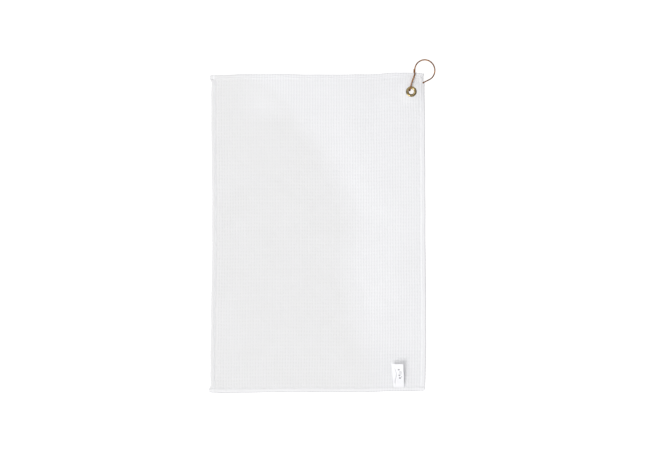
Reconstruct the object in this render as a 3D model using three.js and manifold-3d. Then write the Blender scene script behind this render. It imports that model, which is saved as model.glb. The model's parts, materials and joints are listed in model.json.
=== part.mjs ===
// Golf towel: a waffle-weave towel with four turned hems, a two-piece brass grommet near one
// corner, a bent wire hook whose closed eye passes through the grommet, and a folded care label
// caught under the bottom hem.
// Millimetres, +Z up. The towel lies flat, face up, and the origin is the middle of its underside.

import * as THREE from "three";
import { mergeVertices } from "three/addons/utils/BufferGeometryUtils.js";
import Module from "manifold-3d";

const wasm = await Module();
wasm.setup();

// ---------------------------------------------------------------- driving dimensions

// Cloth
const TOWEL_WIDTH = 406.4; // 16 in
const TOWEL_LENGTH = 609.6; // 24 in
const CLOTH_THICKNESS = 1.6; // over the ridges of the waffle
const CLOTH_SKEW = 0.0096; // climb of the cross threads for each mm of width

// Hems, turned twice and lockstitched
const HEM_WIDTH = 7.5;
const HEM_THICKNESS = 2.6;
const HEM_EDGE_ROUND = 0.8;
const HEM_STEP = 0.6; // run of the slope from the hem's fold down to the single cloth
const SEAM_FROM_EDGE = 6.1;
const THREAD_WIDTH = 0.5;
const SEAM_SLOPE = 0.35; // run of each side of the furrow that the thread pulls into the hem
const BOBBIN_RECESS = 0.1; // the underside thread sits this far inside the hem

// Grommet: an eyelet with a domed flange, and a flat washer under the eyelet's rolled end
const GROMMET_FROM_RIGHT = 25;
const GROMMET_FROM_TOP = 36.5;
const BORE_RADIUS = 4.9;
const FLANGE_RADIUS = 10.2;
const FLANGE_HEIGHT = 1.5;
const FLANGE_PEAK = 2; // from the bore's wall out to the crown of the dome
const BRASS_SHEET = 0.5;
const ROLL_RADIUS = 0.7;
const WASHER_RADIUS = 9.8;
const CRIMP = 0.3; // how much the grommet squeezes the cloth

// Hook: one length of wire
const WIRE_DIAMETER = 2.4;
const BEND_RADIUS = 2.5; // at the bore, to the middle of the wire
const BORE_SIDE = 149; // degrees from +X round the bore to where the wire bears on it
const HOOK_LEAN = 17.7; // degrees from the towel's length to the eye's legs
const LEG_BOW = 1.1; // sideways bow of the front leg
const NECK_INSIDE = 5.1; // the neck starts this far inside the towel's edge
const NECK_LENGTH = 9.4;
const NECK_DROP = 1.7; // from the front leg's height over the hem to the start of the ring
const NECK_PAIR = 1.1; // sideways offset of the eye's end from the neck that it closes on
const EYE_OVERLAP = 2.6; // how far the eye's end runs past the start of the ring
const RING_HALF_WIDTH = 19.2; // to the middle of the wire, as is the half length
const RING_HALF_LENGTH = 20.4;
const RING_SWEEP = 250;
const TIP_LENGTH = 11;
const TIP_FLARE = 6; // degrees that the tip opens outwards
const TIP_BALL_RADIUS = 1.65;

// Care label: one ribbon folded in two, its ends under the hem
const LABEL_WIDTH = 21.5;
const LABEL_SEAM_WIDTH = 19.5;
const LABEL_LENGTH = 45;
const LABEL_THICKNESS = 0.7;
const LABEL_CURL = 7; // height that the free end stands above the sewn end
const LABEL_FROM_RIGHT = 49;
const LABEL_DRIFT = 2.7; // sideways shift of the free end towards the left

const FIT_GAP = 0.3; // between neighbouring pieces
const TABLE_GAP = 0.05; // keeps the wire's bends from dipping below the table

// Fineness of the round shapes
const ROUND_SEGMENTS = 40;
const ARC_STEPS = 6;
const WIRE_SIDES = 10;
const WIRE_STEPS = 116;

// ---------------------------------------------------------------- sizes that follow

const WIRE_RADIUS = WIRE_DIAMETER / 2;
const LYING_Z = WIRE_RADIUS + TABLE_GAP; // middle of a wire that lies on the table
const HALF_WIDTH = TOWEL_WIDTH / 2;
const HALF_LENGTH = TOWEL_LENGTH / 2;

// Heights of what is stacked at the grommet, from the table up: the hook's back leg, the
// eyelet's roll, the washer, the cloth, the flange, and the hook's front leg.
const CORNER_LIFT = WIRE_DIAMETER + FIT_GAP + 0.1;
const ROLL_CENTRE_Z = WIRE_DIAMETER + FIT_GAP + ROLL_RADIUS;
const WASHER_BOTTOM_Z = ROLL_CENTRE_Z + FIT_GAP;
const GROMMET_LIFT = WASHER_BOTTOM_Z + BRASS_SHEET + FIT_GAP;
const FLANGE_BOTTOM_Z = GROMMET_LIFT + CLOTH_THICKNESS - CRIMP + FIT_GAP;
const FLANGE_TOP_Z = FLANGE_BOTTOM_Z + FLANGE_HEIGHT;
const FRONT_LEG_Z = FLANGE_TOP_Z + FIT_GAP + WIRE_RADIUS;
const OVER_HEM_Z = CORNER_LIFT + HEM_THICKNESS + FIT_GAP + WIRE_RADIUS;

const BARREL_RADIUS = BORE_RADIUS + BRASS_SHEET;
const CLOTH_HOLE_RADIUS = BARREL_RADIUS + FIT_GAP;

const GROMMET_X = HALF_WIDTH - GROMMET_FROM_RIGHT;
const GROMMET_Y = edgeY(GROMMET_X, HALF_LENGTH) - GROMMET_FROM_TOP;

// Where the hook's wire stands in the bore: it swings about this place.
const BEARING_RADIUS = BORE_RADIUS - WIRE_RADIUS - FIT_GAP;
const PIVOT_X = GROMMET_X + BEARING_RADIUS * Math.cos(radians(BORE_SIDE));
const PIVOT_Y = GROMMET_Y + BEARING_RADIUS * Math.sin(radians(BORE_SIDE));

// The cloth is raised level round the grommet and over the hook's swing, and slopes away.
const LEVEL_ROUND_GROMMET = FLANGE_RADIUS + 3.5;
const BUMP_FALL = 14;
const SWING_SIDE = 20;
const LIFT_RAMP = 55;
const CORNER_DROOP = 0.5; // share of the lift left at the right-hand edge

function radians(degrees) {
  return THREE.MathUtils.degToRad(degrees);
}

function edgeY(x, y) {
  return y + CLOTH_SKEW * x;
}

// ---------------------------------------------------------------- shapes of the cloth

function ease(t) {
  const s = Math.min(Math.max(t, 0), 1);
  return s * s * (3 - 2 * s);
}

function undersideZ(x, y) {
  const rightOfRamp = ease((x - (GROMMET_X - SWING_SIDE - LIFT_RAMP)) / LIFT_RAMP);
  const aboveRamp = ease((y - (GROMMET_Y - LEVEL_ROUND_GROMMET - LIFT_RAMP)) / LIFT_RAMP);
  const levelTo = GROMMET_X + LEVEL_ROUND_GROMMET;
  const droop = 1 - CORNER_DROOP * ease((x - levelTo) / (HALF_WIDTH - levelTo));
  const fromGrommet = Math.hypot(x - GROMMET_X, y - GROMMET_Y);
  const bump = 1 - ease((fromGrommet - LEVEL_ROUND_GROMMET) / BUMP_FALL);
  return CORNER_LIFT * rightOfRamp * aboveRamp * droop + (GROMMET_LIFT - CORNER_LIFT) * bump;
}

function clothThickness(x, y) {
  const fromGrommet = Math.hypot(x - GROMMET_X, y - GROMMET_Y);
  return CLOTH_THICKNESS - CRIMP * (1 - ease((fromGrommet - FLANGE_RADIUS) / 3.5));
}

// The hem's section, as breakpoints from its folded edge inwards: how much is taken off its
// top and off its underside, as a share of the edge's rounding or of the thread's furrow.
const furrowHalf = THREAD_WIDTH / 2 + FIT_GAP;
const HEM_SECTION = [
  { from: 0, round: 1, furrow: 0 },
  { from: HEM_EDGE_ROUND, round: 0, furrow: 0 },
  { from: SEAM_FROM_EDGE - furrowHalf - SEAM_SLOPE, round: 0, furrow: 0 },
  { from: SEAM_FROM_EDGE - furrowHalf, round: 0, furrow: 1 },
  { from: SEAM_FROM_EDGE + furrowHalf, round: 0, furrow: 1 },
  { from: SEAM_FROM_EDGE + furrowHalf + SEAM_SLOPE, round: 0, furrow: 0 },
  { from: HEM_WIDTH, round: 0, furrow: 0 },
];
const TOP_FURROW = THREAD_WIDTH + FIT_GAP;
const UNDER_FURROW = BOBBIN_RECESS + THREAD_WIDTH + FIT_GAP;

function hemSectionAt(fromEdge) {
  const last = HEM_SECTION.length - 1;
  for (let k = 0; k < last; k += 1) {
    const a = HEM_SECTION[k];
    const b = HEM_SECTION[k + 1];
    if (fromEdge <= b.from) {
      const t = (fromEdge - a.from) / (b.from - a.from);
      return {
        round: a.round + (b.round - a.round) * t,
        furrow: a.furrow + (b.furrow - a.furrow) * t,
      };
    }
  }
  return { round: 0, furrow: 0 };
}

// The top and bottom hems are sewn last and run over the ends of the side hems, so a side
// hem's furrow stops at them.
function clothPoint(x, y, isTop) {
  const fromSide = HALF_WIDTH - Math.abs(x);
  const fromEnd = HALF_LENGTH - Math.abs(y);
  const side = hemSectionAt(fromSide);
  const end = hemSectionAt(fromEnd);
  const fromEdge = Math.min(fromSide, fromEnd);
  const inHem = 1 - Math.min(Math.max((fromEdge - HEM_WIDTH) / HEM_STEP, 0), 1);
  const skewedY = edgeY(x, y);
  const single = clothThickness(x, skewedY);
  const thickness = single + (HEM_THICKNESS - single) * inHem;
  const rounding = 0.3 * thickness * Math.max(side.round, end.round);
  const sideFurrow = fromEnd > HEM_WIDTH ? side.furrow : 0;
  const furrow = Math.max(sideFurrow, end.furrow);
  const base = undersideZ(x, skewedY);
  const z = isTop
    ? base + thickness - rounding - TOP_FURROW * furrow
    : base + rounding + UNDER_FURROW * furrow;
  return [x, skewedY, z];
}

// A closed sheet over a grid of columns and rows, with a top and an underside.
function sheetGeometry(columns, rows, pointAt) {
  const positions = [];
  const index = [];
  const across = columns.length;
  const down = rows.length;
  for (const isTop of [true, false]) {
    for (const row of rows) {
      for (const column of columns) {
        positions.push(...pointAt(column, row, isTop));
      }
    }
  }
  const top = (i, j) => j * across + i;
  const under = (i, j) => across * down + top(i, j);
  const quad = (a, b, c, d) => index.push(a, b, c, a, c, d);
  for (let j = 0; j < down - 1; j += 1) {
    for (let i = 0; i < across - 1; i += 1) {
      quad(top(i, j), top(i + 1, j), top(i + 1, j + 1), top(i, j + 1));
      quad(under(i, j), under(i, j + 1), under(i + 1, j + 1), under(i + 1, j));
    }
  }
  for (let i = 0; i < across - 1; i += 1) {
    const end = down - 1;
    quad(under(i, 0), under(i + 1, 0), top(i + 1, 0), top(i, 0));
    quad(top(i, end), top(i + 1, end), under(i + 1, end), under(i, end));
  }
  for (let j = 0; j < down - 1; j += 1) {
    const end = across - 1;
    quad(top(0, j), top(0, j + 1), under(0, j + 1), under(0, j));
    quad(under(end, j), under(end, j + 1), top(end, j + 1), top(end, j));
  }
  const geometry = new THREE.BufferGeometry();
  geometry.setAttribute("position", new THREE.Float32BufferAttribute(positions, 3));
  geometry.setIndex(index);
  geometry.computeVertexNormals();
  return geometry;
}

function evenly(from, to, longestStep) {
  const steps = Math.max(1, Math.ceil((to - from) / longestStep));
  return Array.from({ length: steps }, (_, k) => from + ((to - from) * k) / steps);
}

// Grid lines in one direction: both hems' breakpoints, a coarse grid where the cloth lies flat,
// a finer one where it climbs, and the finest round the grommet.
function gridLines(half, climbFrom, grommetAt) {
  const hem = [...HEM_SECTION.map((point) => point.from), HEM_WIDTH + HEM_STEP];
  const inner = half - HEM_WIDTH - HEM_STEP;
  const fineFrom = grommetAt - LEVEL_ROUND_GROMMET - 4;
  const fineTo = Math.min(grommetAt + LEVEL_ROUND_GROMMET + 4, inner);
  return [
    ...hem.slice(0, -1).map((from) => from - half),
    ...evenly(-inner, climbFrom, 90),
    ...evenly(climbFrom, fineFrom, 13),
    ...evenly(fineFrom, fineTo, 6),
    ...evenly(fineTo, inner, 6),
    ...hem.reverse().map((from) => half - from),
  ];
}

const columns = gridLines(HALF_WIDTH, GROMMET_X - SWING_SIDE - LIFT_RAMP, GROMMET_X);
const rows = gridLines(
  HALF_LENGTH,
  GROMMET_Y - LEVEL_ROUND_GROMMET - LIFT_RAMP,
  GROMMET_Y - edgeY(GROMMET_X, 0),
);

// ---------------------------------------------------------------- solids

function toSolid(geometry) {
  const bare = geometry.clone();
  bare.deleteAttribute("normal");
  bare.deleteAttribute("uv");
  const merged = mergeVertices(bare);
  const vertProperties = new Float32Array(merged.attributes.position.array);
  const triVerts = new Uint32Array(merged.index.array);
  return new wasm.Manifold(new wasm.Mesh({ numProp: 3, vertProperties, triVerts }));
}

function toGeometry(solid) {
  const mesh = solid.getMesh();
  const geometry = new THREE.BufferGeometry();
  geometry.setAttribute("position", new THREE.BufferAttribute(mesh.vertProperties, 3));
  geometry.setIndex(new THREE.BufferAttribute(mesh.triVerts, 1));
  geometry.computeVertexNormals();
  return geometry;
}

function arc(centreX, centreY, radiusX, radiusY, fromDegrees, toDegrees) {
  return Array.from({ length: ARC_STEPS + 1 }, (_, k) => {
    const angle = radians(fromDegrees + ((toDegrees - fromDegrees) * k) / ARC_STEPS);
    return new THREE.Vector2(
      centreX + radiusX * Math.cos(angle),
      centreY + radiusY * Math.sin(angle),
    );
  });
}

// A ring turned about +Z from a closed profile of (radius, height) points.
function turned(profile) {
  const geometry = new THREE.LatheGeometry([...profile, profile[0]], ROUND_SEGMENTS);
  return geometry.rotateX(Math.PI / 2);
}

// ---------------------------------------------------------------- pieces

function makeCloth() {
  const hole = new THREE.CylinderGeometry(
    CLOTH_HOLE_RADIUS,
    CLOTH_HOLE_RADIUS,
    4 * FLANGE_TOP_Z,
    ROUND_SEGMENTS,
  );
  hole.rotateX(Math.PI / 2).translate(GROMMET_X, GROMMET_Y, 0);
  const sheet = sheetGeometry(columns, rows, clothPoint);
  return toGeometry(toSolid(sheet).subtract(toSolid(hole)));
}

// A hem's thread, flush in its furrow on the top or the underside. place(along, across) gives
// the plan position of a point on the seam.
function makeThread(stations, place, onTop) {
  const across = [-THREAD_WIDTH / 2, THREAD_WIDTH / 2];
  return sheetGeometry(stations, across, (along, offset, isTop) => {
    const [x, y] = place(along, offset);
    const skewedY = edgeY(x, y);
    const low = onTop ? HEM_THICKNESS - THREAD_WIDTH : BOBBIN_RECESS;
    return [x, skewedY, undersideZ(x, skewedY) + low + (isTop ? THREAD_WIDTH : 0)];
  });
}

function makeSeams() {
  const endSeam = HALF_LENGTH - SEAM_FROM_EDGE;
  const sideSeam = HALF_WIDTH - SEAM_FROM_EDGE;
  const fullWidth = columns.filter((x) => Math.abs(x) <= HALF_WIDTH - HEM_EDGE_ROUND);
  const betweenHems = rows.filter((y) => Math.abs(y) <= HALF_LENGTH - HEM_WIDTH - HEM_STEP);
  const seams = {
    top: { stations: fullWidth, place: (along, offset) => [along, endSeam + offset] },
    bottom: { stations: fullWidth, place: (along, offset) => [along, -endSeam + offset] },
    left: { stations: betweenHems, place: (along, offset) => [-sideSeam - offset, along] },
    right: { stations: betweenHems, place: (along, offset) => [sideSeam - offset, along] },
  };
  return Object.entries(seams).flatMap(([side, { stations, place }]) => [
    [`needle_thread_${side}`, makeThread(stations, place, true)],
    [`bobbin_thread_${side}`, makeThread(stations, place, false)],
  ]);
}

function makeEyelet() {
  const crown = BORE_RADIUS + FLANGE_PEAK;
  const outward = FLANGE_RADIUS - crown;
  const thin = BRASS_SHEET;
  const rollAt = BORE_RADIUS + ROLL_RADIUS;
  return turned([
    ...arc(crown, FLANGE_BOTTOM_Z, outward, FLANGE_HEIGHT, 0, 90),
    ...arc(crown, FLANGE_BOTTOM_Z, FLANGE_PEAK, FLANGE_HEIGHT, 90, 180).slice(1),
    ...arc(rollAt, ROLL_CENTRE_Z, ROLL_RADIUS, ROLL_RADIUS, 180, 360),
    ...arc(rollAt, ROLL_CENTRE_Z, ROLL_RADIUS - thin, ROLL_RADIUS - thin, 360, 180),
    ...arc(crown, FLANGE_BOTTOM_Z, FLANGE_PEAK - thin, FLANGE_HEIGHT - thin, 180, 90),
    ...arc(crown, FLANGE_BOTTOM_Z, outward - thin, FLANGE_HEIGHT - thin, 90, 0).slice(1),
  ]);
}

function makeWasher() {
  const inner = BARREL_RADIUS + FIT_GAP;
  const bottom = WASHER_BOTTOM_Z;
  const top = bottom + BRASS_SHEET;
  return turned([
    new THREE.Vector2(inner, bottom),
    new THREE.Vector2(WASHER_RADIUS - BRASS_SHEET / 2, bottom),
    new THREE.Vector2(WASHER_RADIUS, bottom + BRASS_SHEET / 2),
    new THREE.Vector2(WASHER_RADIUS - BRASS_SHEET / 4, top),
    new THREE.Vector2(inner, top),
  ]);
}

// The hook's wire, in plan from the bearing in the bore, with heights from the table. It runs
// from the eye's end beside the neck, back under the cloth, up through the bore, out over the
// cloth to the neck, and round the ring to the tip.
function hookPoints() {
  const lean = radians(HOOK_LEAN);
  const edge = edgeY(PIVOT_X, HALF_LENGTH) - PIVOT_Y;
  const neckFrom = edge - NECK_INSIDE;
  const legLength = neckFrom / Math.cos(lean);
  const neckX = neckFrom * Math.tan(lean);
  const ringFrom = neckFrom + NECK_LENGTH;
  const ringStartZ = OVER_HEM_Z - NECK_DROP;
  const ringSlope = (ringStartZ - LYING_Z) / RING_HALF_LENGTH;
  const alongLeg = (distance, sideways, z) =>
    new THREE.Vector3(
      distance * Math.sin(lean) - sideways * Math.cos(lean),
      distance * Math.cos(lean) + sideways * Math.sin(lean),
      z,
    );
  const bow = (distance) => {
    const t = distance / legLength;
    return 4 * LEG_BOW * t * (1 - t);
  };
  const bend = (centreZ, fromDegrees, toDegrees) =>
    arc(BEND_RADIUS, centreZ, BEND_RADIUS, BEND_RADIUS, fromDegrees, toDegrees).map((point) =>
      alongLeg(point.x, 0, point.y),
    );
  const ringPoint = (x, y) => {
    const ringTop = ringFrom + RING_HALF_LENGTH;
    return new THREE.Vector3(x, y, LYING_Z + ringSlope * (ringTop - y));
  };

  const eyeEndZ = ringStartZ - ringSlope * EYE_OVERLAP - WIRE_DIAMETER;
  const backLeg = [
    new THREE.Vector3(neckX - NECK_PAIR, ringFrom + EYE_OVERLAP, eyeEndZ),
    new THREE.Vector3(neckX - NECK_PAIR, ringFrom - 0.3 * NECK_PAIR, eyeEndZ - 0.25),
    new THREE.Vector3(neckX - NECK_PAIR, edge + 0.2 * NECK_PAIR, LYING_Z),
    new THREE.Vector3(neckX - NECK_PAIR, neckFrom, LYING_Z),
    alongLeg(0.8 * legLength, 0.5 * NECK_PAIR, LYING_Z),
    alongLeg(0.5 * legLength, 0, LYING_Z),
    alongLeg(2.4 * BEND_RADIUS, 0, LYING_Z),
  ];
  const throughBore = [
    ...bend(LYING_Z + BEND_RADIUS, 270, 180),
    ...bend(FRONT_LEG_Z - BEND_RADIUS, 180, 90),
  ];
  const pastFlange = FLANGE_RADIUS + WIRE_RADIUS;
  const atHem = 0.86 * legLength;
  const frontLeg = [
    alongLeg(2 * BEND_RADIUS, bow(2 * BEND_RADIUS), FRONT_LEG_Z),
    alongLeg(pastFlange, bow(pastFlange), FRONT_LEG_Z),
    alongLeg(0.6 * legLength, bow(0.6 * legLength), 0.5 * (FRONT_LEG_Z + OVER_HEM_Z)),
    alongLeg(atHem, bow(atHem), OVER_HEM_Z),
  ];
  const neck = [
    new THREE.Vector3(neckX, neckFrom + 0.2 * NECK_LENGTH, OVER_HEM_Z),
    new THREE.Vector3(neckX, edge + FIT_GAP, OVER_HEM_Z),
  ];
  const ringCentreX = neckX + RING_HALF_WIDTH;
  const ringSteps = Math.round(RING_SWEEP / 15);
  const ring = Array.from({ length: ringSteps + 1 }, (_, k) => {
    const angle = radians(180 - (RING_SWEEP * k) / ringSteps);
    return ringPoint(
      ringCentreX + RING_HALF_WIDTH * Math.cos(angle),
      ringFrom + RING_HALF_LENGTH * Math.sin(angle),
    );
  });
  const ringEnd = ring[ring.length - 1];
  const endAngle = radians(180 - RING_SWEEP);
  const ringHeading = Math.atan2(
    -RING_HALF_LENGTH * Math.cos(endAngle),
    RING_HALF_WIDTH * Math.sin(endAngle),
  );
  const heading = ringHeading + radians(TIP_FLARE);
  const tip = [0.5, 1].map((share) =>
    ringPoint(
      ringEnd.x + share * TIP_LENGTH * Math.cos(heading),
      ringEnd.y + share * TIP_LENGTH * Math.sin(heading),
    ),
  );
  return [...backLeg, ...throughBore, ...frontLeg, ...neck, ...ring, ...tip];
}

function makeHook() {
  const points = hookPoints();
  const path = new THREE.CatmullRomCurve3(points, false, "centripetal");
  const section = new THREE.Shape(
    Array.from({ length: WIRE_SIDES }, (_, k) => {
      const angle = (2 * Math.PI * k) / WIRE_SIDES;
      return new THREE.Vector2(WIRE_RADIUS * Math.cos(angle), WIRE_RADIUS * Math.sin(angle));
    }),
  );
  const wire = new THREE.ExtrudeGeometry(section, {
    steps: WIRE_STEPS,
    bevelEnabled: false,
    extrudePath: path,
  });
  const tip = points[points.length - 1];
  const ball = new THREE.SphereGeometry(TIP_BALL_RADIUS, 14, 8);
  ball.translate(tip.x, tip.y, tip.z);
  return toGeometry(toSolid(wire).add(toSolid(ball)));
}

// The label runs from the hem's inner fold towards the middle of the towel, and curls up.
function makeLabel() {
  const across = [-0.5, 0, 0.5];
  const along = evenly(0, 1, 0.1).concat(1);
  const seamZ = HEM_THICKNESS + FIT_GAP;
  return sheetGeometry(across, along, (share, run, isTop) => {
    const width = LABEL_SEAM_WIDTH + (LABEL_WIDTH - LABEL_SEAM_WIDTH) * ease(2 * run);
    const x = width * share - LABEL_DRIFT * run;
    const y = LABEL_LENGTH * run;
    const z = seamZ + LABEL_CURL * run ** 1.7;
    return [x, y, z + (isTop ? LABEL_THICKNESS : 0)];
  });
}

// ---------------------------------------------------------------- assembly

const clothMaterial = new THREE.MeshStandardMaterial({ color: 0xebebed, roughness: 0.95 });
const threadMaterial = new THREE.MeshStandardMaterial({ color: 0xf3f3f4, roughness: 0.7 });
const brassMaterial = new THREE.MeshStandardMaterial({
  color: 0xc6a252,
  roughness: 0.22,
  metalness: 1,
});
const bronzeMaterial = new THREE.MeshStandardMaterial({
  color: 0x95633c,
  roughness: 0.35,
  metalness: 1,
});
const satinMaterial = new THREE.MeshStandardMaterial({ color: 0xfbfbfd, roughness: 0.4 });

function piece(name, geometry, material) {
  const mesh = new THREE.Mesh(geometry, material);
  mesh.name = name;
  return mesh;
}

const towel = new THREE.Group();
towel.add(piece("towel_cloth", makeCloth(), clothMaterial));
for (const [name, geometry] of makeSeams()) {
  towel.add(piece(name, geometry, threadMaterial));
}

const grommet = new THREE.Group();
grommet.position.set(GROMMET_X, GROMMET_Y, 0);
grommet.add(piece("grommet_eyelet", makeEyelet(), brassMaterial));
grommet.add(piece("grommet_washer", makeWasher(), brassMaterial));
towel.add(grommet);

const hook = piece("wire_hook", makeHook(), bronzeMaterial);
hook.position.set(PIVOT_X, PIVOT_Y, 0);
towel.add(hook);

const labelX = HALF_WIDTH - LABEL_FROM_RIGHT;
const label = piece("care_label", makeLabel(), satinMaterial);
label.position.set(labelX, edgeY(labelX, HEM_WIDTH + FIT_GAP - HALF_LENGTH), 0);
towel.add(label);

export default towel;
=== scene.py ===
"""Looks of a golf towel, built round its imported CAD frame: the waffle cloth with its turned hems,
the lockstitched seams, the brass grommet, the bronzed wire hook and the satin care label.

Metres, in the frame of the CAD: +Z up, the towel lying face up on the table at z = 0.
"""

import json
import math

import bpy
import numpy as np
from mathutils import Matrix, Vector


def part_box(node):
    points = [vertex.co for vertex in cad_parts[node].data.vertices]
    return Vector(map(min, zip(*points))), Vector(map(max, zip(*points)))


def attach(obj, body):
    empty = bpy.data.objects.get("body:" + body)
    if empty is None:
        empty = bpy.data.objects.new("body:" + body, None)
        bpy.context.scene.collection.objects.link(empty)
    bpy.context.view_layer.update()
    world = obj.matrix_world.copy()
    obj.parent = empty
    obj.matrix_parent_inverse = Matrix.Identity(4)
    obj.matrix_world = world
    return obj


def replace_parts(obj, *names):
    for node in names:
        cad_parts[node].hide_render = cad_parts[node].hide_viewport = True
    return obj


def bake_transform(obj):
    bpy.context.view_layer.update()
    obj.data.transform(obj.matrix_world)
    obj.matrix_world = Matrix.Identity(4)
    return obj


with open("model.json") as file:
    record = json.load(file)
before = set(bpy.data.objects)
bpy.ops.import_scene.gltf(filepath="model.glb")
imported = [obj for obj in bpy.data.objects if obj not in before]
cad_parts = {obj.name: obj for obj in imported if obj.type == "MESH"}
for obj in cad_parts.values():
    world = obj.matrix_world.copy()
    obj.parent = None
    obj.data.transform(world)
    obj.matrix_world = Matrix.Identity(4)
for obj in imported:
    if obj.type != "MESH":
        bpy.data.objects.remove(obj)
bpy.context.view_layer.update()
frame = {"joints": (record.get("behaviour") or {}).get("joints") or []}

MM = 0.001

# -------- sizes

# Read from the frame
CLOTH_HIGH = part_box("towel_cloth")[1]
EYELET_LOW, EYELET_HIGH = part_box("grommet_eyelet")
WASHER_LOW, WASHER_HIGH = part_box("grommet_washer")
JOINT_AT = {joint["name"]: Vector(joint["pos_m"]) for joint in frame["joints"]}

# Cloth, as in the CAD source
CLOTH_THICKNESS = 1.6 * MM
CLOTH_SKEW = 0.0096
HALF_WIDTH = CLOTH_HIGH.x
HALF_LENGTH = CLOTH_HIGH.y - CLOTH_SKEW * HALF_WIDTH
HEM_WIDTH = 7.5 * MM
HEM_THICKNESS = 2.6 * MM
HEM_STEP = 0.6 * MM
SEAM_FROM_EDGE = 6.1 * MM

# Grommet, as in the CAD source
GROMMET_X = (EYELET_LOW.x + EYELET_HIGH.x) / 2
GROMMET_Y = (EYELET_LOW.y + EYELET_HIGH.y) / 2
BORE_RADIUS = 4.9 * MM
FLANGE_RADIUS = 10.2 * MM
FLANGE_HEIGHT = 1.5 * MM
FLANGE_PEAK = 2 * MM
BRASS_SHEET = 0.5 * MM
ROLL_RADIUS = 0.7 * MM
WASHER_RADIUS = 9.8 * MM
FIT_GAP = 0.3 * MM
BARREL_RADIUS = BORE_RADIUS + BRASS_SHEET
CLOTH_HOLE_RADIUS = BARREL_RADIUS + FIT_GAP
FLANGE_BOTTOM_Z = EYELET_HIGH.z - FLANGE_HEIGHT
ROLL_CENTRE_Z = EYELET_LOW.z + ROLL_RADIUS
GROMMET_LIFT = WASHER_HIGH.z + FIT_GAP

# Hook, as in the CAD source
WIRE_DIAMETER = 2.4 * MM
WIRE_RADIUS = WIRE_DIAMETER / 2
TABLE_GAP = 0.05 * MM
LYING_Z = WIRE_RADIUS + TABLE_GAP
BEND_RADIUS = 2.5 * MM
HOOK_LEAN = math.radians(17.7)
LEG_BOW = 1.1 * MM
NECK_INSIDE = 5.1 * MM
NECK_LENGTH = 9.4 * MM
NECK_DROP = 1.7 * MM
NECK_PAIR = 1.1 * MM
EYE_OVERLAP = 2.6 * MM
RING_HALF_WIDTH = 19.2 * MM
RING_HALF_LENGTH = 20.4 * MM
RING_SWEEP = math.radians(250)
TIP_LENGTH = 11 * MM
TIP_FLARE = math.radians(6)
TIP_BALL_RADIUS = 1.65 * MM
CORNER_LIFT = WIRE_DIAMETER + FIT_GAP + 0.1 * MM
FRONT_LEG_Z = EYELET_HIGH.z + FIT_GAP + WIRE_RADIUS
OVER_HEM_Z = CORNER_LIFT + HEM_THICKNESS + FIT_GAP + WIRE_RADIUS

# Where the cloth is level and where it slopes, as in the CAD source
LEVEL_ROUND_GROMMET = FLANGE_RADIUS + 3.5 * MM
BUMP_FALL = 14 * MM
SWING_SIDE = 20 * MM
LIFT_RAMP = 55 * MM
CORNER_DROOP = 0.5

# Label, as in the CAD source
LABEL_HINGE = JOINT_AT["label_flip"]
LABEL_WIDTH = 21.5 * MM
LABEL_SEAM_WIDTH = 19.5 * MM
LABEL_LENGTH = 45 * MM
LABEL_THICKNESS = 0.7 * MM
LABEL_CURL = 7 * MM
LABEL_DRIFT = 2.7 * MM
LABEL_SEAM_Z = HEM_THICKNESS + FIT_GAP

# Weave
CELLS_ACROSS = 77
CELLS_ALONG = 89
CELL_SLOPE = 0.36  # share of a cell from its ridge to the edge of its floor
RELIEF = 0.85 * MM  # from the ridges down to the floors
CROSS_RIDGE = 0.78  # height of the ridges that run across, as a share of the others
UNDER_RELIEF = 0.7 * MM
RIM_Z = 1.3 * MM  # height of the hem's folded edge
INNER_X = HALF_WIDTH - HEM_WIDTH - HEM_STEP
INNER_Y = HALF_LENGTH - HEM_WIDTH - HEM_STEP
PITCH_X = 2 * INNER_X / CELLS_ACROSS
PITCH_Y = 2 * INNER_Y / CELLS_ALONG

# Stitches
STITCH = 3.0 * MM
THREAD_RADIUS = 0.23 * MM

random = np.random.default_rng(732)


def ease(t):
    s = np.clip(t, 0, 1)
    return s * s * (3 - 2 * s)


def skewed(x, y):
    return y + CLOTH_SKEW * x


# -------- how the cloth lies


def from_grommet(x, y):
    return np.hypot(x - GROMMET_X, y - GROMMET_Y)


def lift(x, y):
    """Height of the cloth's underside: the grommet and the hook's wire hold one corner up."""
    right_of_ramp = ease((x - (GROMMET_X - SWING_SIDE - LIFT_RAMP)) / LIFT_RAMP)
    above_ramp = ease((y - (GROMMET_Y - LEVEL_ROUND_GROMMET - LIFT_RAMP)) / LIFT_RAMP)
    level_to = GROMMET_X + LEVEL_ROUND_GROMMET
    droop = 1 - CORNER_DROOP * ease((x - level_to) / (HALF_WIDTH - level_to))
    bump = 1 - ease((from_grommet(x, y) - LEVEL_ROUND_GROMMET) / BUMP_FALL)
    return CORNER_LIFT * right_of_ramp * above_ramp * droop + (GROMMET_LIFT - CORNER_LIFT) * bump


# Slow waves of a cloth smoothed out by hand: (waves per metre along x, along y, phase, share)
SLOW_WAVES = [
    (3.1, 1.7, 0.4, 0.30),
    (-2.2, 4.9, 2.1, 0.25),
    (7.3, -3.4, 4.4, 0.18),
    (5.2, 8.8, 1.3, 0.15),
    (-12.5, 5.6, 5.2, 0.12),
]
WAVE_HEIGHT = 1.0 * MM
CALM_ROUND_GROMMET, WAVES_GROW_FROM_GROMMET = 30 * MM, 60 * MM
CALM_ROUND_LABEL, WAVES_GROW_FROM_LABEL = 20 * MM, 50 * MM
GATHERS = 9  # round the grommet
GATHER_HEIGHT = 0.28 * MM


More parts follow.
